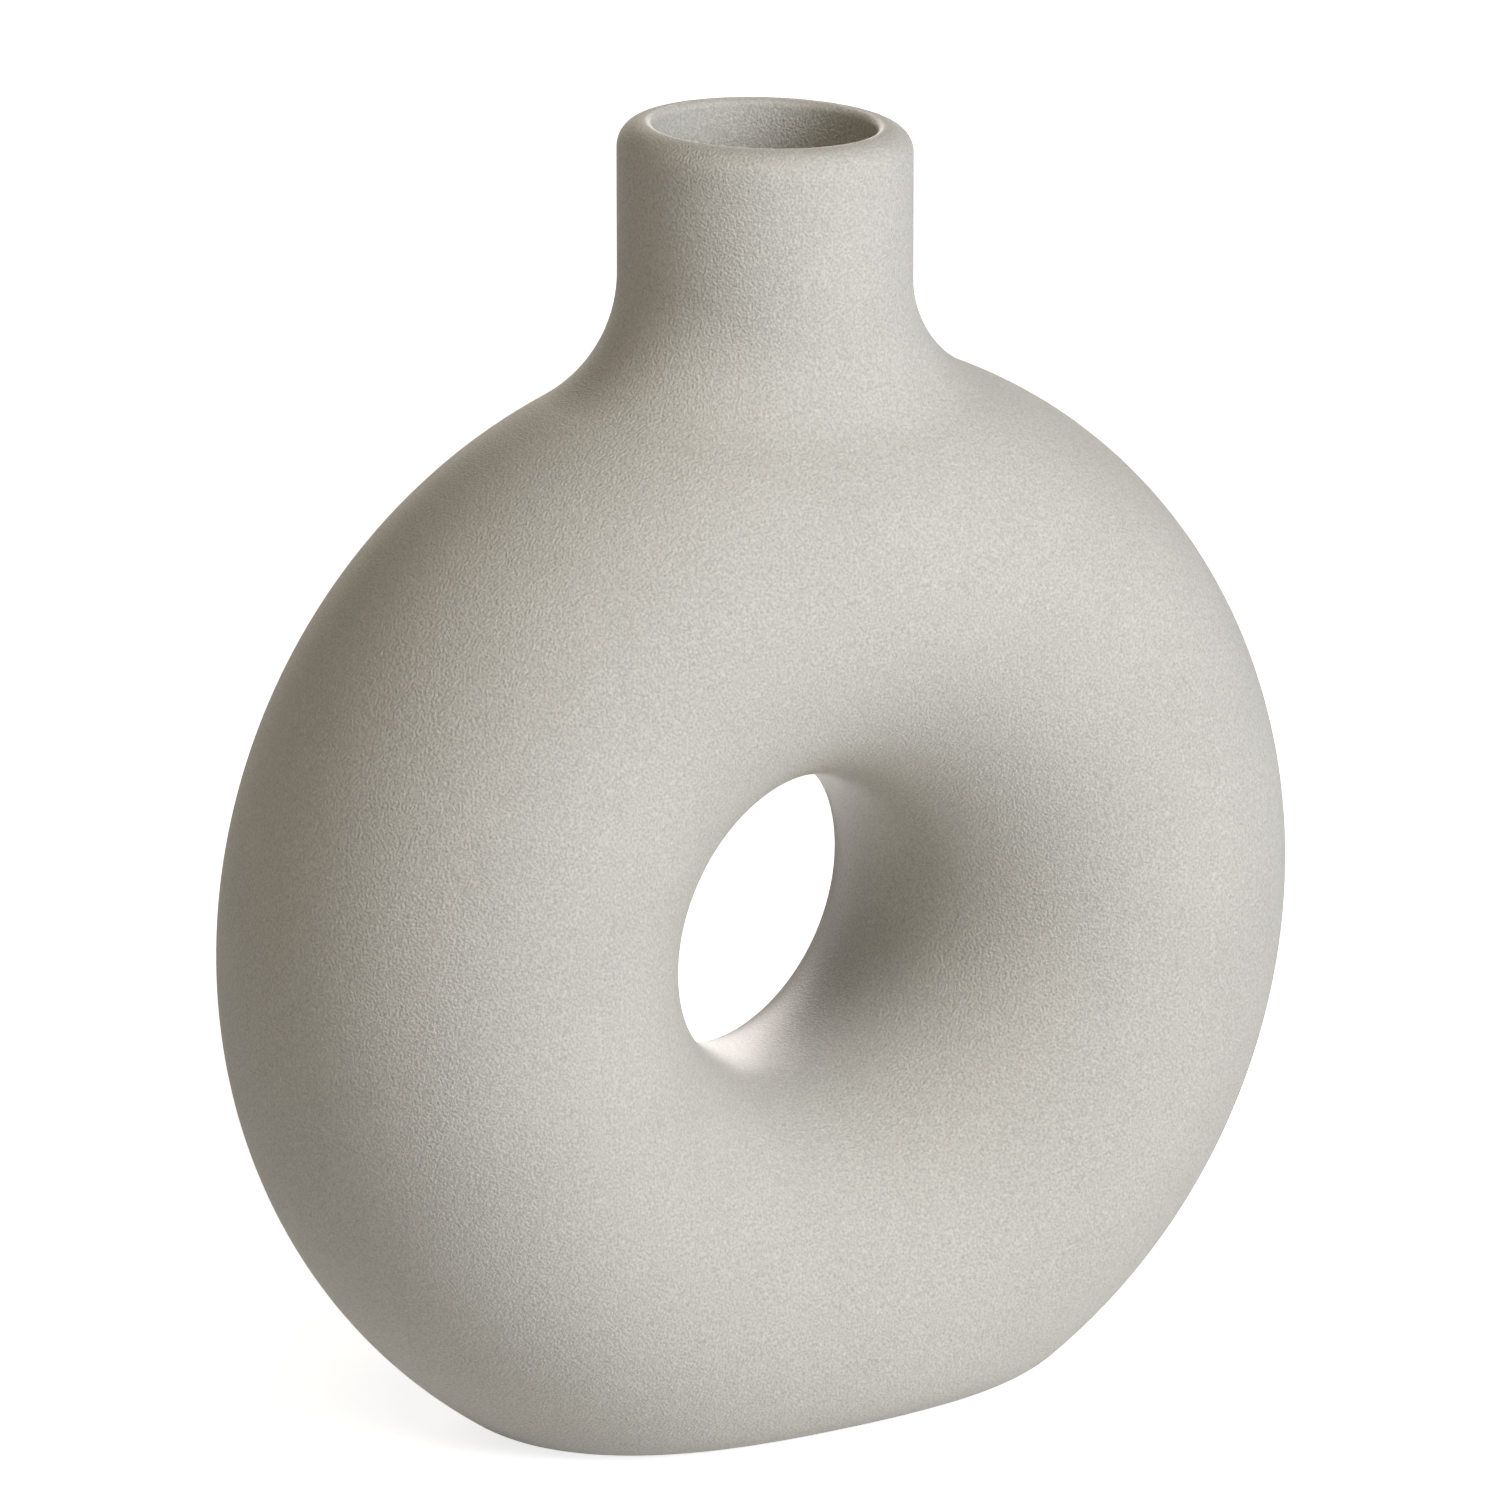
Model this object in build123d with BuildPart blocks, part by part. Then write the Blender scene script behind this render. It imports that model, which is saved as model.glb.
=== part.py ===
"""Donut vase: a hollow stoneware ring that stands on a flattened foot, with a short round neck on top.

The clay is two half rings, front and rear, and a neck collar. Slip, which is liquid clay, joins them along
three seams: round the outside of the ring, round its hole, and under the collar. Glaze lines the inside.

Millimetres, +Z up. The origin is on the table under the middle of the ring, +X is to the viewer's right,
the hole runs along Y and the front of the vase faces -Y.
"""

import os
from math import sqrt

from build123d import *

# Ring, and the clay wall that it shares with the neck
RING_DIAMETER = 180.0
HOLE_DIAMETER = 45.0
RING_DEPTH = 76.0
WALL_THICKNESS = 5.5

# Foot, a flat cut from the ring: it has a soft edge and stands on a rim round a shallow hollow
FOOT_LENGTH = 91.0
FOOT_EDGE_RADIUS = 17.0
FOOT_HOLLOW_INSET = 15.0
FOOT_HOLLOW_DEPTH = 1.2

# Floor of the cavity above the foot
FLOOR_THICKNESS = 6.5
FLOOR_EDGE_RADIUS = 11.0

# Neck, which stands a little right of the hole and flares into the ring; above a short stub it is a collar
NECK_DIAMETER = 45.0
NECK_LENGTH = 33.8
NECK_OFFSET = 1.3
SHOULDER_RADIUS = 21.5
STUB_STRAIGHT_LENGTH = 1.8

# Lip, which leans down to the right, with a narrow flat between a soft outer edge and a crisp inner one
MOUTH_LEAN_DEGREES = 1.8
LIP_INNER_RADIUS = 1.2
LIP_FLAT_WIDTH = 0.3

# Slip in the seams, and the glaze, which stops at a level line below the mouth
SLIP_THICKNESS = 0.6
GLAZE_THICKNESS = 0.3
GLAZE_LINE_DROP = 10.0

# Ring places
ring_radius = RING_DIAMETER / 2
tube_half_width = (RING_DIAMETER - HOLE_DIAMETER) / 4
tube_half_depth = RING_DEPTH / 2
tube_centre_radius = ring_radius - tube_half_width
ring_centre_height = sqrt(ring_radius**2 - (FOOT_LENGTH / 2) ** 2)
ring_axis = Axis((0, 0, ring_centre_height), (0, 1, 0))

# Foot places: the table plane cuts the ring's section at this share of the section's half width
foot_cut_share = (ring_centre_height - tube_centre_radius) / tube_half_width
foot_half_width = tube_half_depth * sqrt(1 - foot_cut_share**2)

# Neck places
neck_radius = NECK_DIAMETER / 2
bore_radius = neck_radius - WALL_THICKNESS
lip_outer_radius = WALL_THICKNESS - LIP_INNER_RADIUS - LIP_FLAT_WIDTH
neck_root_height = ring_centre_height + tube_centre_radius
ring_top_height = ring_centre_height + ring_radius
mouth_height = ring_top_height + NECK_LENGTH
neck_place = (NECK_OFFSET, 0)
half_slip = SLIP_THICKNESS / 2

# The shoulder ends highest on the side where the neck is nearest to the middle of the ring
shoulder_reach = neck_radius + SHOULDER_RADIUS - abs(NECK_OFFSET)
shoulder_rise = sqrt((ring_radius + SHOULDER_RADIUS) ** 2 - shoulder_reach**2)
neck_seam_height = ring_centre_height + shoulder_rise + STUB_STRAIGHT_LENGTH


def front_form(inset, floor_height, floor_edge_radius, top_height):
    """Front half of the ring and neck as one solid, with its back on the XZ plane.

    Its skin lies `inset` inside the vase's outer skin, and it is cut flat at floor_height and top_height.
    """
    with BuildPart() as form:
        with BuildSketch(Plane.XY.offset(ring_centre_height)):
            with Locations((tube_centre_radius, 0)):
                Ellipse(tube_half_width - inset, tube_half_depth - inset)
            split(bisect_by=Plane.XZ, keep=Keep.TOP)
        revolve(axis=ring_axis)
        split(bisect_by=Plane.XY.offset(floor_height), keep=Keep.TOP)
        floor_edge = form.edges().group_by(Axis.Z)[0].sort_by(Axis.Y)[0]
        fillet(floor_edge, floor_edge_radius)
        with BuildSketch(Plane.XY.offset(neck_root_height)):
            with Locations(neck_place):
                Circle(neck_radius - inset)
            split(bisect_by=Plane.XZ, keep=Keep.TOP)
        extrude(amount=top_height - neck_root_height)
        shoulder = form.edges(Select.LAST).filter_by(GeomType.BSPLINE)
        fillet(shoulder, SHOULDER_RADIUS + inset)
    return form.part


# Front clay wall up to the collar's seam, whole as far back as the middle plane
with BuildPart() as front_wall:
    add(front_form(0, 0, FOOT_EDGE_RADIUS, neck_seam_height - half_slip))
    add(
        front_form(WALL_THICKNESS, FLOOR_THICKNESS, FLOOR_EDGE_RADIUS, mouth_height),
        mode=Mode.SUBTRACT,
    )
    with BuildSketch(Plane.XY):
        Ellipse(FOOT_LENGTH / 2 - FOOT_HOLLOW_INSET, foot_half_width - FOOT_HOLLOW_INSET)
    extrude(amount=FOOT_HOLLOW_DEPTH, mode=Mode.SUBTRACT)

# Front half ring, with half a flared stub for the neck: it stops short of the middle plane by half the slip
with BuildPart() as front_half:
    add(front_wall.part)
    split(bisect_by=Plane.XZ.offset(half_slip), keep=Keep.TOP)

# Rear half ring, pressed in the mirrored mould
with BuildPart() as rear_half:
    mirror(front_half.part, about=Plane.XZ)

# Slip between the half rings: the wall's own section on the middle plane, spread to both sides of it
hole_section, rim_section = front_wall.faces().group_by(Axis.Y)[-1].sort_by(SortBy.AREA)

with BuildPart() as hole_seam_slip:
    extrude(hole_section, amount=half_slip, both=True)

with BuildPart() as rim_seam_slip:
    extrude(rim_section, amount=half_slip, both=True)

# Slip under the neck collar
with BuildPart() as neck_seam_slip:
    with BuildSketch(Plane.XY.offset(neck_seam_height - half_slip)):
        with Locations(neck_place):
            Circle(neck_radius)
            Circle(bore_radius, mode=Mode.SUBTRACT)
    extrude(amount=SLIP_THICKNESS)

# Neck collar: a straight tube, cut long, trimmed along the leaning mouth and then rounded at the lip
with BuildPart() as neck_collar:
    with BuildSketch(Plane.XY.offset(neck_seam_height + half_slip)):
        with Locations(neck_place):
            Circle(neck_radius)
            Circle(bore_radius, mode=Mode.SUBTRACT)
    extrude(amount=NECK_LENGTH)
    mouth_plane = Plane((NECK_OFFSET, 0, mouth_height)).rotated((0, MOUTH_LEAN_DEGREES, 0))
    split(bisect_by=mouth_plane, keep=Keep.BOTTOM)
    outer_lip = neck_collar.faces().sort_by(Axis.Z)[-1].outer_wire()
    fillet(outer_lip.edges(), lip_outer_radius)
    inner_lip = neck_collar.faces().sort_by(Axis.Z)[-1].inner_wires()[0]
    fillet(inner_lip.edges(), LIP_INNER_RADIUS)

# Glaze, poured in and out of the finished clay: one skin over the cavity and the inner side of every seam
with BuildPart() as inner_glaze:
    add(front_form(WALL_THICKNESS, FLOOR_THICKNESS, FLOOR_EDGE_RADIUS, mouth_height - GLAZE_LINE_DROP))
    add(
        front_form(
            WALL_THICKNESS + GLAZE_THICKNESS,
            FLOOR_THICKNESS + GLAZE_THICKNESS,
            FLOOR_EDGE_RADIUS - GLAZE_THICKNESS,
            mouth_height,
        ),
        mode=Mode.SUBTRACT,
    )
    mirror(about=Plane.XZ)

pieces = {
    "front_half": front_half,
    "rear_half": rear_half,
    "rim_seam_slip": rim_seam_slip,
    "hole_seam_slip": hole_seam_slip,
    "neck_seam_slip": neck_seam_slip,
    "neck_collar": neck_collar,
    "inner_glaze": inner_glaze,
}

os.makedirs("parts", exist_ok=True)
for name, piece in pieces.items():
    piece.part.label = name
    export_step(piece.part, f"parts/{name}.step")
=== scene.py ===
"""Donut vase: a hollow stoneware ring on a flattened foot, with a short round neck on top.

The sections follow the potter's bench: the two half rings, the slip that joins them, the collar on the
neck and its slip, the glaze inside, and then the studio. Metres, in the same frame as the solid model.
"""

from math import cos, pi, radians, sin, sqrt, tan

import bpy
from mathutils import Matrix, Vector


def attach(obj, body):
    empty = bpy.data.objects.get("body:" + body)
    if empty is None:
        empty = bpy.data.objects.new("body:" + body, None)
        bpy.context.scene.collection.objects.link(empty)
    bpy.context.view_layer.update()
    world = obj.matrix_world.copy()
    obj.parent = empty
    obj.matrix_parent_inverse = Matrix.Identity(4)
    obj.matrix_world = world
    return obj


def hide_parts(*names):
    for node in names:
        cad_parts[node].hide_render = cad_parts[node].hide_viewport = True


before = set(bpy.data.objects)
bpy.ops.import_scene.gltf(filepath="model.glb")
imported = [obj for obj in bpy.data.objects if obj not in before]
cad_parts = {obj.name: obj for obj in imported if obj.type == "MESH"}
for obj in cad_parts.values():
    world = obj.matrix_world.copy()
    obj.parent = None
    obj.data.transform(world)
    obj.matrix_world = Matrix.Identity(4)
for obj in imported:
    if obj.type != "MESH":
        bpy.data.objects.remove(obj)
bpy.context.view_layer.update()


# FRONT HALF RING
# The front of the hollow ring with half of the flared stub for the neck: buff-grey stoneware with fine sand
# in it, pressed into a plaster half mould and trimmed level at the seam. Its foot is cut flat, with a soft
# edge, and hollowed a little in the middle.
RING_RADIUS = 0.090
HOLE_RADIUS = 0.0225
RING_HALF_DEPTH = 0.038
CLAY_WALL = 0.0055
FOOT_HALF_LENGTH = 0.0455
FOOT_EDGE = 0.017
HOLLOW_INSET = 0.015
HOLLOW_DEPTH = 0.0012
HOLLOW_STEP_SLOPE = 0.0005
FLOOR_THICKNESS = 0.0065
FLOOR_EDGE = 0.011
NECK_RADIUS = 0.0225
NECK_LENGTH = 0.0338
NECK_OFFSET = 0.0013
SHOULDER_RADIUS = 0.0215
COLLAR_LENGTH = 0.019
SLIP_THICKNESS = 0.0006

tube_half_width = (RING_RADIUS - HOLE_RADIUS) / 2
tube_centre_radius = RING_RADIUS - tube_half_width
ring_centre_height = sqrt(RING_RADIUS**2 - FOOT_HALF_LENGTH**2)
foot_cut_share = (ring_centre_height - tube_centre_radius) / tube_half_width
foot_half_width = RING_HALF_DEPTH * sqrt(1 - foot_cut_share**2)
mouth_height = ring_centre_height + RING_RADIUS + NECK_LENGTH
neck_seam_height = mouth_height - COLLAR_LENGTH
bore_radius = NECK_RADIUS - CLAY_WALL

# The skin is three sheets of cells: the ring itself, and a fan each for the shoulder and the foot, which fill
# the two windows left open in the ring at its rim. A window is half its width and its depth, and a fan's
# steps are those on each stretch of its lines, all in cells.
AROUND, ACROSS = 288, 72
SHOULDER_WINDOW, SHOULDER_STEPS = (22, 24), (6, 18, 4)
FOOT_WINDOW, FOOT_STEPS = (32, 33), (6, 14, 5, 1, 4)
RING_SHEET, SHOULDER_SHEET, FOOT_SHEET = 0.0, 1.0, 2.0
HALF_CELL = 0.5
COUNT_TOLERANCE = 0.1
PLACE_TOLERANCE = 1e-5
MERGE_DISTANCE = 1e-6


class Reading:
    """A number that a node tree works out for every point. Sums on it add the tree's Math nodes."""

    def __init__(self, socket):
        self.socket = socket

    def __add__(self, other):
        return worked("ADD", self, other)

    def __radd__(self, other):
        return worked("ADD", other, self)

    def __sub__(self, other):
        return worked("SUBTRACT", self, other)

    def __rsub__(self, other):
        return worked("SUBTRACT", other, self)

    def __mul__(self, other):
        return worked("MULTIPLY", self, other)

    def __rmul__(self, other):
        return worked("MULTIPLY", other, self)

    def __truediv__(self, other):
        return worked("DIVIDE", self, other)


def worked(operation, *values, limit=False):
    """Adds a Math node on the values, some of which are readings."""
    tree = next(value.socket.id_data for value in values if isinstance(value, Reading))
    node = tree.nodes.new("ShaderNodeMath")
    node.operation = operation
    node.use_clamp = limit
    for place, value in zip(node.inputs, values):
        plug(tree, place, value)
    return Reading(node.outputs[0])


def plug(tree, place, value):
    """Sets a node's input, from another node or as a plain value."""
    if isinstance(value, Reading):
        tree.links.new(value.socket, place)
    else:
        place.default_value = value


def node_in(tree, kind, settings=None, **inputs):
    """Adds a node. Inputs are given by name, with _ for a space."""
    node = tree.nodes.new(kind)
    for name, value in (settings or {}).items():
        setattr(node, name, value)
    for name, value in inputs.items():
        plug(tree, node.inputs[name.replace("_", " ")], value)
    return node


def out(node, name=0):
    return Reading(node.outputs[name])


def new_tree(name, numbers, extra=()):
    """A geometry tree with named inputs, and what they give inside it."""
    tree = bpy.data.node_groups.new(name, "GeometryNodeTree")
    for number in numbers:
        tree.interface.new_socket(number, in_out="INPUT", socket_type="NodeSocketFloat")
    for other, kind in extra:
        tree.interface.new_socket(other, in_out="INPUT", socket_type=kind)
    given = tree.nodes.new("NodeGroupInput")
    return tree, {socket.name: Reading(socket) for socket in given.outputs if socket.name}


def give(tree, **results):
    """The tree's results."""
    kinds = {"GEOMETRY": "NodeSocketGeometry", "VECTOR": "NodeSocketVector"}
    last = tree.nodes.new("NodeGroupOutput")
    for name, value in results.items():
        tree.interface.new_socket(name, in_out="OUTPUT", socket_type=kinds[value.socket.type])
        tree.links.new(value.socket, last.inputs[name])


def root(value):
    return worked("SQRT", value)


def share(value):
    """The value, held between 0 and 1."""
    return worked("ADD", value, 0.0, limit=True)


def between(first, second, part):
    """The first value where part is 0, the second where it is 1, and a blend between."""
    return first + (second - first) * part


def vector(tree, x, y, z):
    return out(node_in(tree, "ShaderNodeCombineXYZ", X=x, Y=y, Z=z))


def split(tree, direction):
    """A place or direction as its X, Y and Z."""
    node = node_in(tree, "ShaderNodeSeparateXYZ", Vector=direction)
    return [out(node, axis) for axis in "XYZ"]


def position(tree):
    return split(tree, out(node_in(tree, "GeometryNodeInputPosition")))


def choose(tree, question, yes, no):
    node = node_in(tree, "GeometryNodeSwitch", {"input_type": "VECTOR"}, Switch=question)
    plug(tree, node.inputs["True"], yes)
    plug(tree, node.inputs["False"], no)
    return out(node)


def unit(*parts):
    """A direction brought to length 1."""
    length = root(parts[0] * parts[0] + parts[1] * parts[1] + parts[2] * parts[2])
    return [part / length for part in parts]


skin_sizes = [
    "Tube centre radius", "Tube half width", "Tube half depth", "Ring centre height", "Seam half width",
    "Neck radius", "Neck offset", "Shoulder radius", "Top height", "Hollow half length", "Hollow half width",
]
face_sizes = ["Inset", "Floor height", "Floor edge radius", "Hollow depth"]

skin, size = new_tree("Vase skin", ["Around", "Across", "Sheet"] + skin_sizes + face_sizes)
around, across, sheet = size["Around"], size["Across"], size["Sheet"]
wide = size["Tube half width"] - size["Inset"]
deep = size["Tube half depth"] - size["Inset"]
tube_at = size["Tube centre radius"]
middle = size["Ring centre height"]
seam = size["Seam half width"]


def over_ring(x, y):
    """Height of the ring's upper skin above its middle, over a point of the plan, and its normal there."""
    part = root(1.0 - (y / deep) * (y / deep))
    reach = tube_at + wide * part
    height = root(reach * reach - x * x)
    return height, unit(x, reach * wide * y / (deep * deep * part), height)


def window_edge(window):
    """Where a fan's line starts: down one side of its window, along the bottom, and up the other side."""
    half, lanes = window
    last = 2 * half + 2 * lanes
    lane = worked("MINIMUM", worked("MINIMUM", around, lanes), last - around)
    turn = half - worked("MINIMUM", worked("MAXIMUM", around - lanes, 0.0), 2 * half)
    at_seam = worked("LESS_THAN", lane, HALF_CELL)
    return turn, lane, at_seam


is_shoulder = worked("COMPARE", sheet, SHOULDER_SHEET, COUNT_TOLERANCE)
is_foot = worked("COMPARE", sheet, FOOT_SHEET, COUNT_TOLERANCE)
is_ring = 1.0 - is_shoulder - is_foot
shoulder_turn, shoulder_lane, shoulder_at_seam = window_edge(SHOULDER_WINDOW)
foot_turn, foot_lane, foot_at_seam = window_edge(FOOT_WINDOW)

# Ring: a half ellipse carried round the hole. The fans start on the same points.
turn = around * is_ring + (shoulder_turn + AROUND / 4) * is_shoulder + (foot_turn + AROUND * 3 / 4) * is_foot
lane = across * is_ring + shoulder_lane * is_shoulder + foot_lane * is_foot
theta = turn * (2 * pi / AROUND)
seam_angle = worked("ARCSINE", seam / deep)
phi = seam_angle + (pi - 2.0 * seam_angle) * lane / ACROSS
cos_theta, sin_theta = worked("COSINE", theta), worked("SINE", theta)
cos_phi, sin_phi = worked("COSINE", phi), worked("SINE", phi)
ring_reach = tube_at + wide * cos_phi
edge_x = ring_reach * cos_theta
edge_y = 0.0 - deep * sin_phi
ring_point = vector(skin, edge_x, edge_y, middle + ring_reach * sin_theta)
ring_normal = vector(
    skin, *unit(cos_phi / wide * cos_theta, 0.0 - sin_phi / deep, cos_phi / wide * sin_theta)
)

# Shoulder: a ball rolls in the corner between the ring and the neck. The line runs over the ring to where the
# ball touches it, round the ball, and up the neck. The touching point is settled in rounds, each of which
# goes part of the way.
SETTLING_ROUNDS = 10
BALL_PACE = 0.6
shoulder_radius = size["Shoulder radius"] + size["Inset"]
neck_radius = size["Neck radius"] - size["Inset"]
bearing = worked("ARCTAN2", edge_y, edge_x - size["Neck offset"])
out_x, out_y = worked("COSINE", bearing), worked("SINE", bearing)
ball_x = size["Neck offset"] + (neck_radius + shoulder_radius) * out_x
ball_y = (neck_radius + shoulder_radius) * out_y
touch_x = size["Neck offset"] + (neck_radius + shoulder_radius * 0.5) * out_x
touch_y = (neck_radius + shoulder_radius * 0.5) * out_y
for _ in range(SETTLING_ROUNDS):
    touch_height, touch_normal = over_ring(touch_x, touch_y)
    touch_x = between(touch_x, ball_x - shoulder_radius * touch_normal[0], BALL_PACE)
    touch_y = between(touch_y, ball_y - shoulder_radius * touch_normal[1], BALL_PACE)
touch_height, touch_normal = over_ring(touch_x, touch_y)
ball_z = middle + touch_height + shoulder_radius * touch_normal[2]
to_ball, on_ball, up_neck = SHOULDER_STEPS
over_part = share(across / to_ball)
ball_part = share((across - to_ball) / on_ball)
neck_part = share((across - to_ball - on_ball) / up_neck)
plan_x, plan_y = between(edge_x, touch_x, over_part), between(edge_y, touch_y, over_part)
plan_height, plan_normal = over_ring(plan_x, plan_y)
roll = unit(
    between(touch_normal[0], out_x, ball_part),
    between(touch_normal[1], out_y, ball_part),
    touch_normal[2] * (1.0 - ball_part),
)
on_the_ball = worked("GREATER_THAN", across, to_ball + HALF_CELL)
over_y = between(plan_y, ball_y - shoulder_radius * roll[1], on_the_ball)
shoulder_point = vector(
    skin,
    between(plan_x, ball_x - shoulder_radius * roll[0], on_the_ball),
    between(over_y, 0.0 - seam, shoulder_at_seam),
    between(
        middle + plan_height,
        between(ball_z - shoulder_radius * roll[2], size["Top height"], neck_part),
        on_the_ball,
    ),
)
shoulder_normal = choose(skin, on_the_ball, vector(skin, *roll), vector(skin, *plan_normal))

# Foot: the line runs down the ring to its soft lower edge, round that, over the standing rim, up the small
# step into the hollow, and back to the seam. Where the soft edge starts is settled in rounds too.
FOOT_PACE = 1.4
foot_edge = size["Floor edge radius"]
bearing = worked("ARCTAN2", edge_y, edge_x)
out_x, out_y = worked("COSINE", bearing), worked("SINE", bearing)
reach = root(edge_x * edge_x + edge_y * edge_y)
for _ in range(SETTLING_ROUNDS):
    low_height, low_normal = over_ring(reach * out_x, reach * out_y)
    slope = (low_normal[0] * out_x + low_normal[1] * out_y) / low_normal[2]
    wanted = size["Floor height"] + foot_edge * (1.0 - low_normal[2])
    reach = reach + FOOT_PACE * (wanted - middle + low_height) / slope
low_x, low_y = reach * out_x, reach * out_y
low_height, low_normal = over_ring(low_x, low_y)
to_edge, on_edge, over_rim, up_step, to_seam = FOOT_STEPS
down_part = share(across / to_edge)
edge_part = share((across - to_edge) / on_edge)
rim_part = share((across - to_edge - on_edge) / over_rim)
step_part = share((across - to_edge - on_edge - over_rim) / up_step)
seam_part = share((across - to_edge - on_edge - over_rim - up_step) / to_seam)
plan_x, plan_y = between(edge_x, low_x, down_part), between(edge_y, low_y, down_part)
plan_height, plan_normal = over_ring(plan_x, plan_y)
roll = unit(
    low_normal[0] * (1.0 - edge_part),
    low_normal[1] * (1.0 - edge_part),
    0.0 - between(low_normal[2], 1.0, edge_part),
)
heart_x, heart_y = low_x - foot_edge * low_normal[0], low_y - foot_edge * low_normal[1]
heart_z = middle - low_height + foot_edge * low_normal[2]
hollow_bearing = worked("ARCTAN2", heart_y / size["Hollow half width"], heart_x / size["Hollow half length"])
step_slope = HOLLOW_STEP_SLOPE * step_part
hollow_x = (size["Hollow half length"] - step_slope) * worked("COSINE", hollow_bearing)
hollow_y = (size["Hollow half width"] - step_slope) * worked("SINE", hollow_bearing)
on_the_edge = worked("GREATER_THAN", across, to_edge + HALF_CELL)
under_y = between(between(heart_y + foot_edge * roll[1], hollow_y, rim_part), 0.0 - seam, seam_part)
under_z = heart_z + foot_edge * roll[2] + size["Hollow depth"] * step_part
foot_point = vector(
    skin,
    between(plan_x, between(heart_x + foot_edge * roll[0], hollow_x, rim_part), on_the_edge),
    between(between(plan_y, under_y, on_the_edge), 0.0 - seam, foot_at_seam),
    between(middle - plan_height, under_z, on_the_edge),
)
foot_normal = choose(
    skin, on_the_edge, vector(skin, *roll), vector(skin, plan_normal[0], plan_normal[1], 0.0 - plan_normal[2])
)
give(
    skin,
    Point=choose(skin, is_foot, foot_point, choose(skin, is_shoulder, shoulder_point, ring_point)),
    Normal=choose(skin, is_foot, foot_normal, choose(skin, is_shoulder, shoulder_normal, ring_normal)),
)


def flat_sheet(tree, cells, number):
    """A plain sheet of cells that remembers, on each point, which sheet it is and the cell's place in it."""
    grid = node_in(
        tree, "GeometryNodeMeshGrid",
        Size_X=float(cells[0]), Size_Y=float(cells[1]), Vertices_X=cells[0] + 1, Vertices_Y=cells[1] + 1,
    )
    x, y, z = position(tree)
    result = out(grid, "Mesh")
    marks = {"around": x + cells[0] / 2, "across": y + cells[1] / 2, "sheet": number}
    for name, value in marks.items():
        result = mark(tree, result, name, value)
    return result, marks


def mark(tree, geometry, name, value, kind="FLOAT", domain="POINT", where=True):
    """Stores a value on the points or faces under a name."""
    node = node_in(
        tree, "GeometryNodeStoreNamedAttribute", {"data_type": kind, "domain": domain},
        Geometry=geometry, Name=name, Value=value, Selection=where,
    )
    return out(node)


def marked(tree, name, kind="FLOAT"):
    return out(node_in(tree, "GeometryNodeInputNamedAttribute", {"data_type": kind}, Name=name))


def joined(tree, *parts):
    node = tree.nodes.new("GeometryNodeJoinGeometry")
    for part in parts:
        tree.links.new(part.socket, node.inputs[0])
    return out(node)


def closed(tree, geometry):
    """Sheets that lie edge to edge become one along the points that they share."""
    return out(node_in(tree, "GeometryNodeMergeByDistance", Geometry=geometry, Distance=MERGE_DISTANCE))


def face_of_wall(tree, given, face, facing):
    """Where the sheets' points lie on the wall's outer or inner face, and the normals out of the clay."""
    values = {name: given[name] for name in skin_sizes}
    values.update({name: given[f"{face} {name.lower()}"] for name in face_sizes})
    values.update({name: marked(tree, name.lower()) for name in ("Around", "Across", "Sheet")})
    worker = node_in(tree, "GeometryNodeGroup", {"node_tree": skin})
    for name, value in values.items():
        plug(tree, worker.inputs[name], value)
    point = times(tree, out(worker, "Point"), (1.0, given["Mirror"], 1.0))
    return point, times(tree, out(worker, "Normal"), (facing, given["Mirror"] * facing, facing))


def times(tree, direction, factors):
    """A direction with its X, Y and Z each multiplied."""
    node = node_in(tree, "ShaderNodeVectorMath", {"operation": "MULTIPLY"})
    plug(tree, node.inputs[0], direction)
    plug(tree, node.inputs[1], vector(tree, *factors))
    return out(node)


def moved(tree, geometry, place, where=True):
    return out(node_in(tree, "GeometryNodeSetPosition", Geometry=geometry, Position=place, Selection=where))


def finished(tree, name, geometry, material):
    """Ends a tree with plain geometry of one material."""
    plain = out(node_in(tree, "GeometryNodeRealizeInstances", Geometry=geometry))
    dressed = node_in(tree, "GeometryNodeSetMaterial", Geometry=plain, Material=material)
    give(tree, **{name: out(dressed)})


shell_sizes = skin_sizes + [f"{face} {name.lower()}" for face in ("Outer", "Inner") for name in face_sizes]
half_shell, given = new_tree("Half shell", shell_sizes + ["Mirror"], [("Clay", "NodeSocketMaterial")])

ring_sheet, place = flat_sheet(half_shell, (AROUND, ACROSS), RING_SHEET)
in_shoulder = worked("LESS_THAN", place["across"], SHOULDER_WINDOW[1]) * worked(
    "LESS_THAN", worked("ABSOLUTE", place["around"] - AROUND / 4), SHOULDER_WINDOW[0]
)
in_foot = worked("LESS_THAN", place["across"], FOOT_WINDOW[1]) * worked(
    "LESS_THAN", worked("ABSOLUTE", place["around"] - AROUND * 3 / 4), FOOT_WINDOW[0]
)
ring_sheet = out(
    node_in(
        half_shell, "GeometryNodeDeleteGeometry", {"domain": "FACE"},
        Geometry=ring_sheet, Selection=in_shoulder + in_foot,
    )
)
shoulder_cells = (2 * sum(SHOULDER_WINDOW), sum(SHOULDER_STEPS))
shoulder_sheet, place = flat_sheet(half_shell, shoulder_cells, SHOULDER_SHEET)
foot_cells = (2 * sum(FOOT_WINDOW), sum(FOOT_STEPS))
foot_sheet, place = flat_sheet(half_shell, foot_cells, FOOT_SHEET)
on_flat = worked("GREATER_THAN", place["across"], to_edge + on_edge)
foot_sheet = mark(half_shell, foot_sheet, "flat", on_flat, "BOOLEAN", "FACE")

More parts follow.
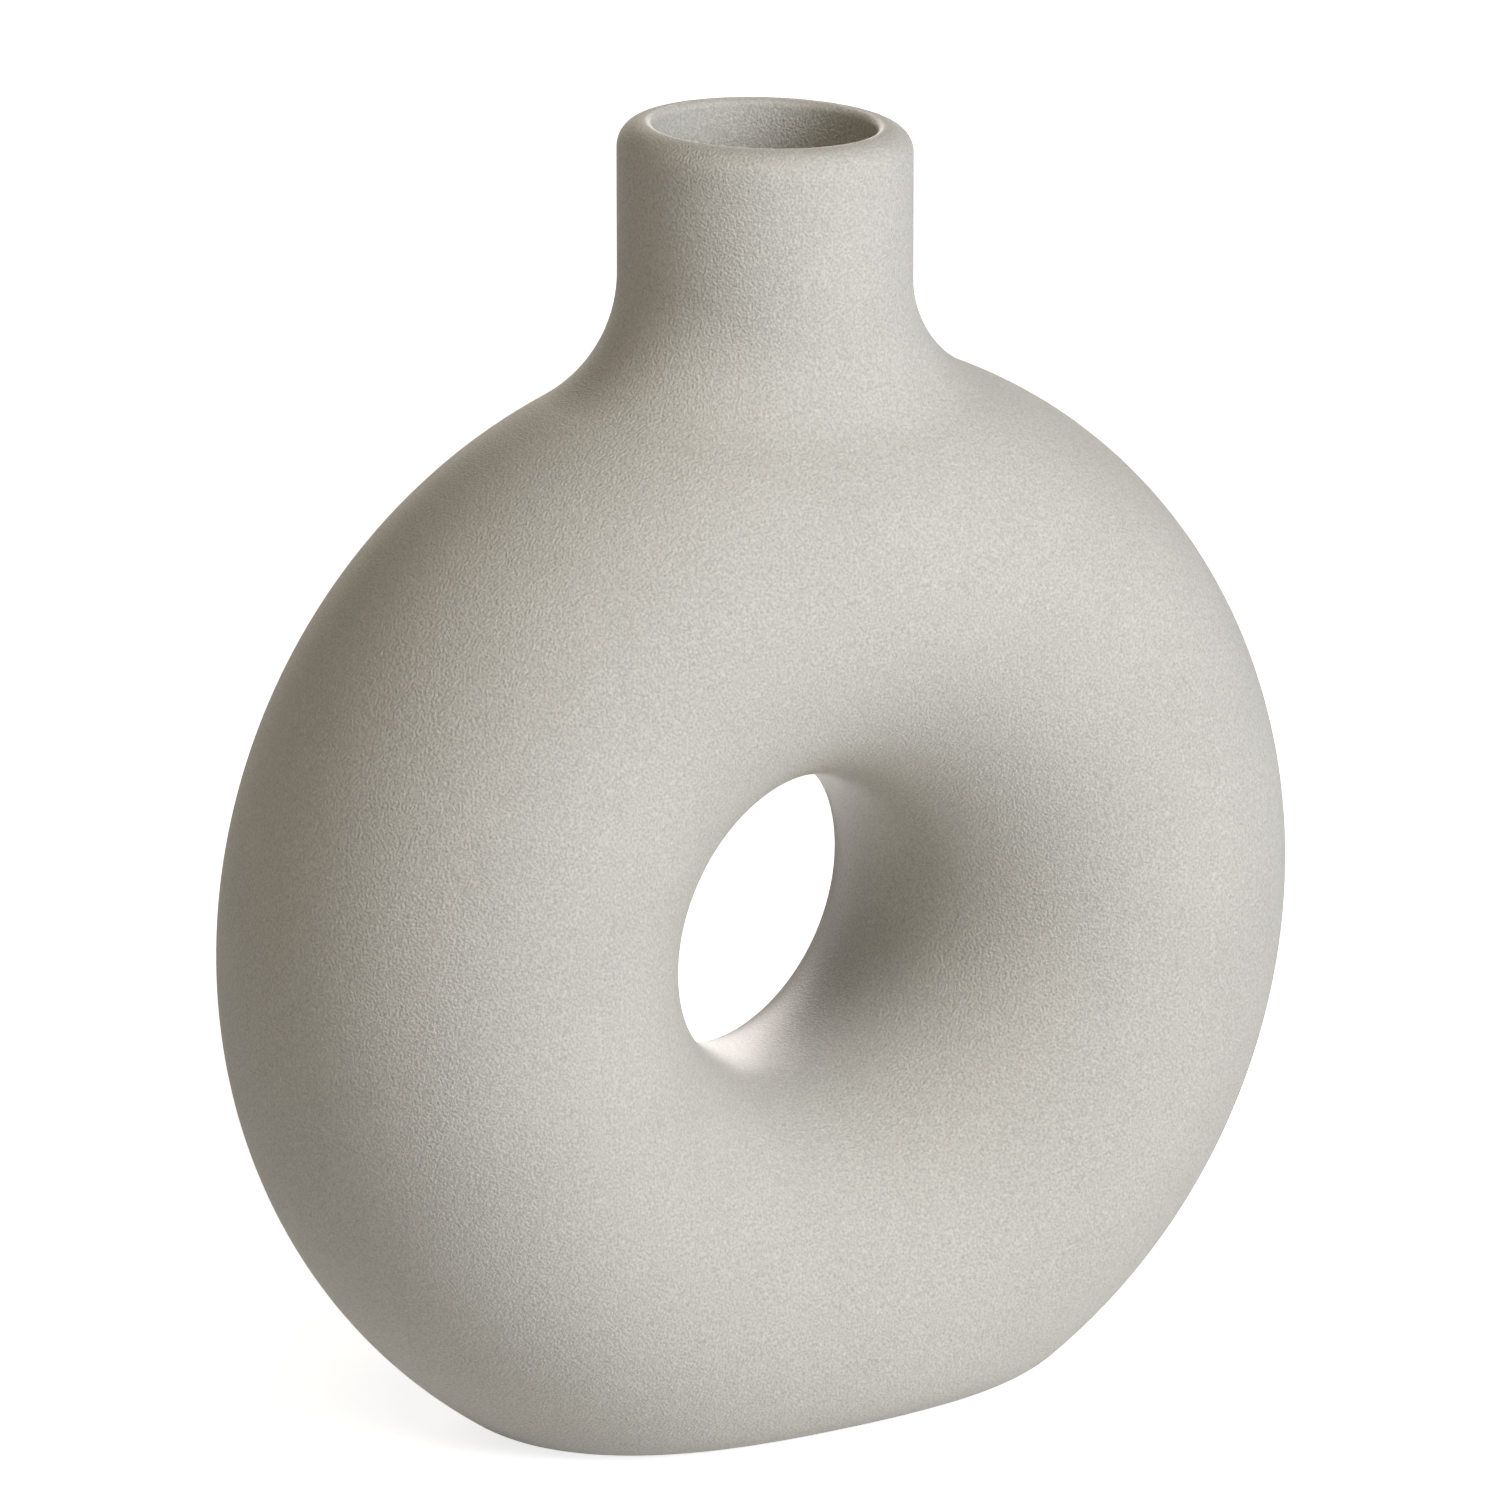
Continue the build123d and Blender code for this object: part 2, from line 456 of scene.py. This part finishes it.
# Both faces of the wall are worked out on the open sheets. Then the outer one is closed, and a copy of it,
# still joined at its rim, is drawn in to the inner face, which leaves flat faces at the seam and on the stub.
outer_point, outer_normal = face_of_wall(half_shell, given, "Outer", 1.0)
inner_point, inner_normal = face_of_wall(half_shell, given, "Inner", -1.0)
outer_face = joined(half_shell, ring_sheet, shoulder_sheet, foot_sheet)
skin_marks = {"skin_normal": outer_normal, "inner_normal": inner_normal, "inner_point": inner_point}
for name, value in skin_marks.items():
    outer_face = mark(half_shell, outer_face, name, value, "FLOAT_VECTOR")
outer_face = closed(half_shell, moved(half_shell, outer_face, outer_point))
wall = node_in(
    half_shell, "GeometryNodeExtrudeMesh", {"mode": "FACES"},
    Mesh=outer_face, Offset_Scale=0.0, Individual=False,
)
copy = out(wall, "Top")
inner_face = mark(half_shell, out(wall, "Mesh"), "flat", True, "BOOLEAN", "FACE", out(wall, "Side"))
inner_normal = marked(half_shell, "inner_normal", "FLOAT_VECTOR")
inner_face = mark(half_shell, inner_face, "skin_normal", inner_normal, "FLOAT_VECTOR", "POINT", copy)
inner_face = moved(half_shell, inner_face, marked(half_shell, "inner_point", "FLOAT_VECTOR"), copy)
inner_face = out(node_in(half_shell, "GeometryNodeFlipFaces", Mesh=inner_face))
shell = closed(half_shell, joined(half_shell, outer_face, inner_face))
is_mirrored = worked("LESS_THAN", given["Mirror"], 0.0)
shell = out(node_in(half_shell, "GeometryNodeFlipFaces", Mesh=shell, Selection=is_mirrored))
shell = out(node_in(half_shell, "GeometryNodeSetShadeSmooth", Geometry=shell))
finished(half_shell, "Shell", shell, given["Clay"])


def made(name, tree, values):
    """A piece from its tree: the modifier's inputs are set, and the result is kept as a plain mesh."""
    piece = bpy.data.objects.new(name, bpy.data.meshes.new(name))
    bpy.context.scene.collection.objects.link(piece)
    modifier = piece.modifiers.new("shape", "NODES")
    modifier.node_group = tree
    sockets = {item.name: item.identifier for item in tree.interface.items_tree if item.in_out == "INPUT"}
    for key, value in values.items():
        modifier[sockets[key]] = value
    ready = piece.evaluated_get(bpy.context.evaluated_depsgraph_get())
    mesh = bpy.data.meshes.new_from_object(ready)
    piece.modifiers.remove(modifier)
    piece.data = mesh
    mesh.name = name
    return piece


def shade_as_skin(piece):
    """Curved faces take the true skin's normals, so the halves and the slip between them shade as one."""
    mesh = piece.data
    normals = [Vector()] * len(mesh.loops)
    true_normal = mesh.attributes["skin_normal"].data
    is_flat = mesh.attributes["flat"].data
    for face in mesh.polygons:
        for corner in face.loop_indices:
            point = mesh.loops[corner].vertex_index
            normals[corner] = face.normal if is_flat[face.index].value else true_normal[point].vector
    mesh.normals_split_custom_set(normals)
    for name in ("around", "across", "sheet", "skin_normal", "inner_normal", "inner_point", "flat"):
        mesh.attributes.remove(mesh.attributes[name])


def shader(name):
    material = bpy.data.materials.new(name)
    material.use_nodes = True
    return material, material.node_tree, material.node_tree.nodes["Principled BSDF"]


def tinted(tree, tone, *stops):
    """Colour by tone: stops are pairs of a tone and its colour."""
    ramp = node_in(tree, "ShaderNodeValToRGB", Fac=tone)
    elements = ramp.color_ramp.elements
    for element, (stop, colour) in zip(elements, stops):
        element.position = stop
        element.color = (*colour, 1.0)
    return out(ramp, "Color")


def noise(tree, where, scale, detail):
    return out(node_in(tree, "ShaderNodeTexNoise", Vector=where, Scale=scale, Detail=detail), "Fac")


# Nearly all of a noise lies between these tones
NOISE_LOW, NOISE_HIGH = 0.3, 0.7


def ranged(tree, tone, low, high):
    """A noise's tone, spread from low to high."""
    spread = {"From_Min": NOISE_LOW, "From_Max": NOISE_HIGH, "To_Min": low, "To_Max": high}
    return out(node_in(tree, "ShaderNodeMapRange", Value=tone, **spread))


def fading(tree, value, near, far):
    """1 up to near and 0 from far on, with a soft passage between them."""
    soft = {"interpolation_type": "SMOOTHSTEP"}
    passage = {"From_Min": near, "From_Max": far, "To_Min": 1.0, "To_Max": 0.0}
    return out(node_in(tree, "ShaderNodeMapRange", soft, Value=value, **passage))


# A wet sponge has closed the clay on the hole's wall and on the lip's inner edge. Each pair is how far past
# the radius, or below the mouth, the clay is quite smooth, and from where it is as sandy as the rest.
SPONGED_HOLE = (0.0005, 0.006)
SPONGED_LIP = (0.0005, 0.0017)
SPONGED_LIP_DEPTH = (0.0015, 0.0035)
SPONGED_ROUGHNESS = 0.34
GRIT_SPONGED_OFF = 0.4


def sponged(tree, where):
    """1 where the sponge went, so that low light glints there, and 0 elsewhere."""
    x, y, z = split(tree, where)
    rise, side = z - ring_centre_height, x - NECK_OFFSET
    from_hole = root(x * x + rise * rise)
    from_neck = root(side * side + y * y)
    hole_wall = fading(tree, from_hole - HOLE_RADIUS, *SPONGED_HOLE)
    lip_edge = fading(tree, from_neck - bore_radius, *SPONGED_LIP)
    return worked("MAXIMUM", hole_wall, lip_edge * fading(tree, mouth_height - z, *SPONGED_LIP_DEPTH))


SAND_SCALE, DRIFT_SCALE = 2500.0, 35.0
SAND_SHARE = 0.85
DARK_TONE, PALE_TONE = 0.26, 0.74
CLAY_ROUGHNESS = (0.58, 0.72)
CLAY_GLOSS = 0.2
SAND_HEIGHT = 0.0002


def sanded_clay(name, dark, pale):
    """Bare fired clay: sand grains of a third of a millimetre, which catch the light, and a drift in tone."""
    material, tree, surface = shader(name)
    where = out(node_in(tree, "ShaderNodeTexCoord"), "Object")
    sand = noise(tree, where, SAND_SCALE, detail=1.0)
    drift = noise(tree, where, DRIFT_SCALE, detail=2.0)
    tone = sand * SAND_SHARE + drift * (1.0 - SAND_SHARE)
    plug(tree, surface.inputs["Base Color"], tinted(tree, tone, (DARK_TONE, dark), (PALE_TONE, pale)))
    smooth = sponged(tree, where)
    rough = between(ranged(tree, sand, *CLAY_ROUGHNESS), SPONGED_ROUGHNESS, smooth)
    plug(tree, surface.inputs["Roughness"], rough)
    surface.inputs["Specular IOR Level"].default_value = CLAY_GLOSS
    strength = 1.0 - GRIT_SPONGED_OFF * smooth
    grit = node_in(tree, "ShaderNodeBump", Strength=strength, Distance=SAND_HEIGHT, Height=sand)
    plug(tree, surface.inputs["Normal"], out(grit, "Normal"))
    return material


CLAY_DARK, CLAY_PALE = (0.445, 0.420, 0.362), (0.675, 0.640, 0.558)
stoneware = sanded_clay("matte sanded stoneware", CLAY_DARK, CLAY_PALE)

vase_sizes = {
    "Tube centre radius": tube_centre_radius,
    "Tube half width": tube_half_width,
    "Tube half depth": RING_HALF_DEPTH,
    "Ring centre height": ring_centre_height,
    "Neck radius": NECK_RADIUS,
    "Neck offset": NECK_OFFSET,
    "Shoulder radius": SHOULDER_RADIUS,
    "Hollow half length": FOOT_HALF_LENGTH - HOLLOW_INSET,
    "Hollow half width": foot_half_width - HOLLOW_INSET,
}
clay_sizes = {
    **vase_sizes,
    "Seam half width": SLIP_THICKNESS / 2,
    "Top height": neck_seam_height - SLIP_THICKNESS / 2,
    "Outer inset": 0.0,
    "Outer floor height": 0.0,
    "Outer floor edge radius": FOOT_EDGE,
    "Outer hollow depth": HOLLOW_DEPTH,
    "Inner inset": CLAY_WALL,
    "Inner floor height": FLOOR_THICKNESS,
    "Inner floor edge radius": FLOOR_EDGE,
    "Inner hollow depth": 0.0,
    "Clay": stoneware,
}
front_half = made("front_half_ring", half_shell, {**clay_sizes, "Mirror": 1.0})
shade_as_skin(front_half)
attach(front_half, "root")
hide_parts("front_half")


# REAR HALF RING
# The back of the hollow ring with the other half of the stub, of the same stoneware. It is pressed in the
# mirrored mould, trimmed level in the same way and joined to the front half with slip.
rear_half = made("rear_half_ring", half_shell, {**clay_sizes, "Mirror": -1.0})
shade_as_skin(rear_half)
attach(rear_half, "root")
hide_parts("rear_half")


# SEAM SLIP OF THE RING
# Slip, which is the same clay let down with water, squeezed out when the halves are pressed together. One
# band runs round the outside of the ring and up the stub, and one round the hole. Both are wiped level.
NEARLY_SQUARE = 0.9
seam_band, given = new_tree(
    "Seam band", shell_sizes + ["Mirror", "Parting radius", "Outside"], [("Clay", "NodeSocketMaterial")]
)
half = node_in(seam_band, "GeometryNodeGroup", {"node_tree": half_shell})
for name in shell_sizes + ["Mirror"]:
    plug(seam_band, half.inputs[name], given[name])
x, y, z = position(seam_band)
facing_y = split(seam_band, out(node_in(seam_band, "GeometryNodeInputNormal")))[1]
rise = z - given["Ring centre height"]
from_hole = root(x * x + rise * rise)
beyond = worked("GREATER_THAN", from_hole, given["Parting radius"])
on_this_side = worked("COMPARE", beyond, given["Outside"], COUNT_TOLERANCE)
at_seam = worked("COMPARE", y, 0.0 - given["Seam half width"], PLACE_TOLERANCE)
wanted = at_seam * worked("GREATER_THAN", facing_y, NEARLY_SQUARE) * on_this_side
seam_face = out(
    node_in(
        seam_band, "GeometryNodeSeparateGeometry", {"domain": "FACE"},
        Geometry=out(half), Selection=wanted,
    )
)
spread = node_in(
    seam_band, "GeometryNodeExtrudeMesh", {"mode": "FACES"},
    Mesh=seam_face, Offset=vector(seam_band, 0.0, 1.0, 0.0),
    Offset_Scale=given["Seam half width"] * 2.0, Individual=False,
)
on_stub = worked("GREATER_THAN", z, given["Top height"] - PLACE_TOLERANCE)
band = mark(seam_band, out(spread, "Mesh"), "flat", on_stub, "BOOLEAN", "FACE", out(spread, "Side"))
band = joined(seam_band, band, out(node_in(seam_band, "GeometryNodeFlipFaces", Mesh=seam_face)))
finished(seam_band, "Band", closed(seam_band, band), given["Clay"])

slip = sanded_clay("wiped slip", CLAY_DARK, CLAY_PALE)
for name, node, outside in (
    ("rim_seam_band", "rim_seam_slip", 1.0),
    ("hole_seam_band", "hole_seam_slip", 0.0),
):
    parting = {"Parting radius": tube_centre_radius, "Outside": outside}
    piece = made(name, seam_band, {**clay_sizes, **parting, "Mirror": 1.0, "Clay": slip})
    shade_as_skin(piece)
    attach(piece, "root")
    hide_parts(node)


# NECK COLLAR
# A short thrown tube of the same stoneware, luted on the stub. Its lip is sponged round, softer outside than
# inside, and leans down a little to the right, as a hand-cut lip does.
LIP_INNER = 0.0012
LIP_FLAT = 0.0003
MOUTH_LEAN = tan(radians(1.8))
CRISP_ANGLE = radians(40)

# Cells round the tube, and steps up its outside, over the lip's outer edge, its flat and its inner edge, down
# the inside and back under the wall
COLLAR_AROUND, COLLAR_STEPS = 192, (14, 12, 1, 8, 14, 3)

collar_sizes = [
    "Radius", "Wall", "Lip inner radius", "Lip flat", "Lip outer radius",
    "Bottom height", "Top height", "Lean", "Offset",
]
collar, given = new_tree("Collar", collar_sizes, [("Clay", "NodeSocketMaterial")])
tube, place = flat_sheet(collar, (COLLAR_AROUND, sum(COLLAR_STEPS)), RING_SHEET)
parts = []
done = 0
for steps in COLLAR_STEPS:
    parts.append(share((place["across"] - done) / steps))
    done = done + steps
up_outside, over_outer, over_flat, over_inner, down_inside, under = parts
outer_turn, inner_turn = over_outer * (pi / 2), over_inner * (pi / 2)
from_axis = (
    given["Radius"]
    - given["Lip outer radius"] * (1.0 - worked("COSINE", outer_turn))
    - given["Lip flat"] * over_flat
    - given["Lip inner radius"] * worked("SINE", inner_turn)
    + given["Wall"] * under
)
tall = given["Top height"] - given["Bottom height"]
height = (
    (tall - given["Lip outer radius"]) * up_outside
    + given["Lip outer radius"] * worked("SINE", outer_turn)
    - given["Lip inner radius"] * (1.0 - worked("COSINE", inner_turn))
    - (tall - given["Lip inner radius"]) * down_inside
)
bearing = place["around"] * (2 * pi / COLLAR_AROUND)
sideways = from_axis * worked("COSINE", bearing)
lean = given["Lean"] * sideways * height / tall
tube_point = vector(
    collar,
    given["Offset"] + sideways,
    from_axis * worked("SINE", bearing),
    given["Bottom height"] + height - lean,
)
tube = closed(collar, moved(collar, tube, tube_point))
tube = out(node_in(collar, "GeometryNodeSetShadeSmooth", Geometry=tube))
finished(collar, "Tube", tube, given["Clay"])


def crisp_edges(piece):
    """The cut ends stay crisp and the rest shades smooth."""
    piece.data.set_sharp_from_angle(angle=CRISP_ANGLE)
    for name in ("around", "across", "sheet"):
        piece.data.attributes.remove(piece.data.attributes[name])


neck_sizes = {"Radius": NECK_RADIUS, "Wall": CLAY_WALL, "Offset": NECK_OFFSET}
neck_collar = made(
    "neck_collar_tube", collar,
    {
        **neck_sizes,
        "Lip inner radius": LIP_INNER,
        "Lip flat": LIP_FLAT,
        "Lip outer radius": CLAY_WALL - LIP_FLAT - LIP_INNER,
        "Bottom height": neck_seam_height + SLIP_THICKNESS / 2,
        "Top height": mouth_height,
        "Lean": MOUTH_LEAN,
        "Clay": stoneware,
    },
)
crisp_edges(neck_collar)
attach(neck_collar, "root")
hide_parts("neck_collar")


# SLIP UNDER THE COLLAR
# The ring of slip that lutes the collar to the stub: the same clay let down with water, brushed on both ends
# and wiped level inside and out.
neck_slip = made(
    "neck_seam_band", collar,
    {
        **neck_sizes,
        "Lip flat": CLAY_WALL,
        "Bottom height": neck_seam_height - SLIP_THICKNESS / 2,
        "Top height": neck_seam_height + SLIP_THICKNESS / 2,
        "Clay": slip,
    },
)
crisp_edges(neck_slip)
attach(neck_slip, "root")
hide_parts("neck_seam_slip")


# GLAZE INSIDE
# A thin satin glaze, poured in, swilled round and poured out before the last firing, so that the vase holds
# water. It lines the whole ring and stops at a level line below the mouth.
GLAZE = 0.0003
GLAZE_LINE_DROP = 0.010
GLAZE_THIN, GLAZE_THICK = (0.50, 0.48, 0.44), (0.60, 0.585, 0.545)
GLAZE_ROUGHNESS = (0.28, 0.42)
FLOW_SCALE, RIPPLE_SCALE = 60.0, 700.0
RIPPLE_STRENGTH = 0.6
RIPPLE_HEIGHT = 0.00005

lining, given = new_tree("Glaze lining", shell_sizes, [("Glaze", "NodeSocketMaterial")])
halves = []
for side in (1.0, -1.0):
    half = node_in(lining, "GeometryNodeGroup", {"node_tree": half_shell}, Mirror=side)
    for name in shell_sizes:
        plug(lining, half.inputs[name], given[name])
    halves.append(out(half))
x, y, z = position(lining)
on_middle = worked("COMPARE", y, 0.0, PLACE_TOLERANCE)
coat = out(
    node_in(
        lining, "GeometryNodeDeleteGeometry", {"domain": "FACE"},
        Geometry=joined(lining, *halves), Selection=on_middle,
    )
)
finished(lining, "Coat", closed(lining, coat), given["Glaze"])

glaze, coating, surface = shader("satin inside glaze")
where = out(node_in(coating, "ShaderNodeTexCoord"), "Object")
flow = noise(coating, where, FLOW_SCALE, detail=3.0)
hue = tinted(coating, flow, (NOISE_LOW, GLAZE_THIN), (NOISE_HIGH, GLAZE_THICK))
plug(coating, surface.inputs["Base Color"], hue)
plug(coating, surface.inputs["Roughness"], ranged(coating, flow, *GLAZE_ROUGHNESS))
peel = noise(coating, where, RIPPLE_SCALE, detail=1.0)
ripple = node_in(coating, "ShaderNodeBump", Strength=RIPPLE_STRENGTH, Distance=RIPPLE_HEIGHT, Height=peel)
plug(coating, surface.inputs["Normal"], out(ripple, "Normal"))
inner_glaze = made(
    "inner_glaze_coat", lining,
    {
        **vase_sizes,
        "Seam half width": 0.0,
        "Top height": mouth_height - GLAZE_LINE_DROP,
        "Outer inset": CLAY_WALL,
        "Outer floor height": FLOOR_THICKNESS,
        "Outer floor edge radius": FLOOR_EDGE,
        "Outer hollow depth": 0.0,
        "Inner inset": CLAY_WALL + GLAZE,
        "Inner floor height": FLOOR_THICKNESS + GLAZE,
        "Inner floor edge radius": FLOOR_EDGE - GLAZE,
        "Inner hollow depth": 0.0,
        "Glaze": glaze,
    },
)
shade_as_skin(inner_glaze)
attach(inner_glaze, "root")
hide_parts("inner_glaze")


# STUDIO
# A pale floor that runs out of the picture and a white surround. Three round softboxes: a cool key low at the
# front right, a weaker warm one high at the left, and a broad one low behind, which edges the hole.
# The camera looks from the front left, a little from above, through a long lens.
FLOOR_REACH = 4.0
FLOOR_DROP = 0.0001
PAPER_TONE = 0.9
FLOOR_WHITE = 0.8
WHITE = (1.0, 1.0, 1.0, 1.0)

corners = ((-1, -1), (1, -1), (1, 1), (-1, 1))
floor_points = [(x * FLOOR_REACH, y * FLOOR_REACH, -FLOOR_DROP) for x, y in corners]
floor_mesh = bpy.data.meshes.new("studio_floor")
floor_mesh.from_pydata(floor_points, [], [(0, 1, 2, 3)])
floor = bpy.data.objects.new("studio_floor", floor_mesh)
bpy.context.scene.collection.objects.link(floor)

paper, sweep, surface = shader("pale floor paper")
surface.inputs["Base Color"].default_value = (PAPER_TONE, PAPER_TONE, PAPER_TONE, 1.0)
surface.inputs["Roughness"].default_value = 1.0
surface.inputs["Specular IOR Level"].default_value = 0.0


def seen(tree):
    """1 for what the camera sees, directly or in a reflection, and 0 for the light that falls on the vase."""
    rays = node_in(tree, "ShaderNodeLightPath")
    kinds = [out(rays, f"Is {kind} Ray") for kind in ("Camera", "Glossy", "Transmission")]
    return worked("MAXIMUM", worked("MAXIMUM", kinds[0], kinds[1]), kinds[2])


white = node_in(sweep, "ShaderNodeEmission", Color=WHITE, Strength=seen(sweep) * FLOOR_WHITE)
both = sweep.nodes.new("ShaderNodeAddShader")
sweep.links.new(surface.outputs["BSDF"], both.inputs[0])
sweep.links.new(white.outputs["Emission"], both.inputs[1])
sweep.links.new(both.outputs["Shader"], sweep.nodes["Material Output"].inputs["Surface"])
floor_mesh.materials.append(paper)

surround = bpy.data.worlds.new("white surround")
surround.use_nodes = True
bpy.context.scene.world = surround
sky = surround.node_tree.nodes["Background"]
sky.inputs["Color"].default_value = WHITE
plug(surround.node_tree, sky.inputs["Strength"], seen(surround.node_tree))


def towards(azimuth, elevation):
    """Direction from the vase: azimuth 0 is in front of it and 90 on its right, in degrees."""
    turn, rise = radians(azimuth), radians(elevation)
    return Vector((sin(turn) * cos(rise), -cos(turn) * cos(rise), sin(rise)))


def aim(thing, target, direction, distance):
    """Puts a lamp or camera at a distance from its target, turned to it."""
    thing.location = target + direction * distance
    thing.rotation_mode = "QUATERNION"
    thing.rotation_quaternion = (-direction).to_track_quat("-Z", "Y")
    bpy.context.scene.collection.objects.link(thing)


# Each softbox: its direction, width, level and colour, and whether the clay mirrors it. The key isn't
# mirrored, because from behind it would burn out the sponged wall of the hole.
LAMP_DISTANCE = 1.6
VASE_MIDDLE = Vector((0, 0, 0.09))
SOFTBOXES = (
    ("key_softbox", (17, 22), 0.85, 0.99, (0.86, 0.90, 1.0), False),
    ("high_softbox", (-60, 60), 0.9, 0.27, (1.0, 0.91, 0.75), True),
    ("back_softbox", (152, 8), 1.0, 0.38, (1.0, 0.92, 0.88), True),
)
for name, place, across, level, colour, mirrored in SOFTBOXES:
    lamp = bpy.data.lights.new(name, "AREA")
    lamp.shape = "DISK"
    lamp.size = across
    lamp.color = colour
    lamp.energy = level * (pi * LAMP_DISTANCE) ** 2
    softbox = bpy.data.objects.new(name, lamp)
    softbox.visible_glossy = mirrored
    aim(softbox, VASE_MIDDLE, towards(*place), LAMP_DISTANCE)

CAMERA_DIRECTION = towards(-33.13, 16.00)
CAMERA_DISTANCE = 1.931
CAMERA_TARGET = Vector((-0.0010, 0.00065, 0.1031))
SENSOR_WIDTH = 36.0
FOCAL_LENGTH = 302.49
lens = bpy.data.cameras.new("camera")
lens.sensor_width = SENSOR_WIDTH
lens.lens = FOCAL_LENGTH
camera = bpy.data.objects.new("camera", lens)
aim(camera, CAMERA_TARGET, CAMERA_DIRECTION, CAMERA_DISTANCE)
bpy.context.scene.camera = camera

bpy.context.scene.view_settings.view_transform = "Standard"
